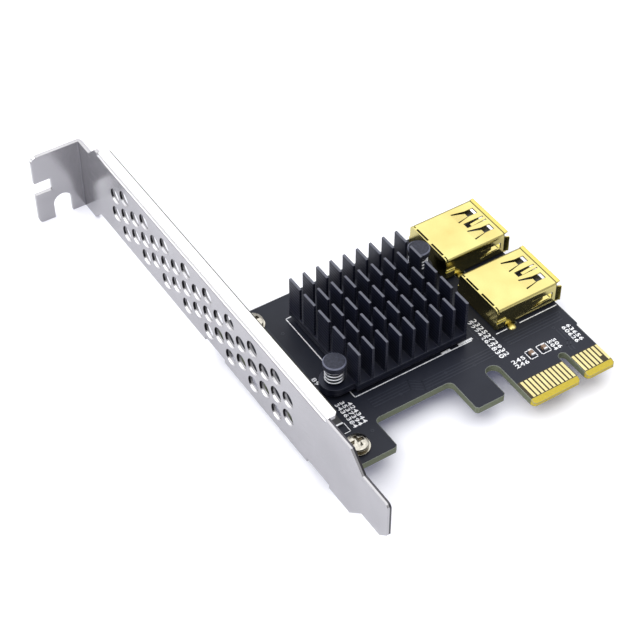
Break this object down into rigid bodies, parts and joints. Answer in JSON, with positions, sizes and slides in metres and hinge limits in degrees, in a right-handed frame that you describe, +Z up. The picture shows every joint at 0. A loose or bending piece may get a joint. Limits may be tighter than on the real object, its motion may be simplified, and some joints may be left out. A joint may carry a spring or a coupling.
{
  "type": "pcie riser card",
  "caption": "Plug-in riser card with a slotted metal bracket, finned heatsink on sprung pins, and gold sockets for riser cables.",
  "frame": {"origin": "centre of the key slot in the edge connector, at the finger tips, at half the board's thickness", "axes": "+X along the card away from the bracket, +Y from the fingers towards the bracket's screw tab, +Z up from the component side of the board"},
  "size_m": [0.0775, 0.12, 0.0216],
  "materials": {
    "board": "satin dark solder mask on glass-fibre board",
    "contact_gold": "polished gold plating",
    "plated_sheet": "bright nickel plating",
    "screw_steel": "bright nickel plating",
    "black_aluminium": "black anodised",
    "chip_plastic": "matt moulding compound",
    "pad_rubber": "soft silicone",
    "pin_plastic": "moulded nylon",
    "spring_steel": "bright drawn wire",
    "shell_gold": "polished gold plating",
    "insulator_plastic": "moulded black plastic",
    "capacitor_ceramic": "fired ceramic",
    "terminal_tin": "tinned"
  },
  "bodies": {
    "root": {"circuit_board": "board", "edge_contacts_top": "contact_gold", "edge_contacts_bottom": "contact_gold", "bracket": "plated_sheet", "bracket_screws": "screw_steel", "flat_washers": "screw_steel", "lock_washers": "screw_steel", "heatsink": "black_aluminium", "switch_chip": "chip_plastic", "thermal_pad": "pad_rubber", "push_pins": "pin_plastic", "push_pin_springs": "spring_steel", "socket_shell_1": "shell_gold", "socket_shell_2": "shell_gold", "socket_body_1": "insulator_plastic", "socket_body_2": "insulator_plastic", "socket_contacts_1": "contact_gold", "socket_contacts_2": "contact_gold", "capacitor_bodies": "capacitor_ceramic", "resistor_bodies": "chip_plastic", "chip_terminals": "terminal_tin"}
  },
  "joints": []
}
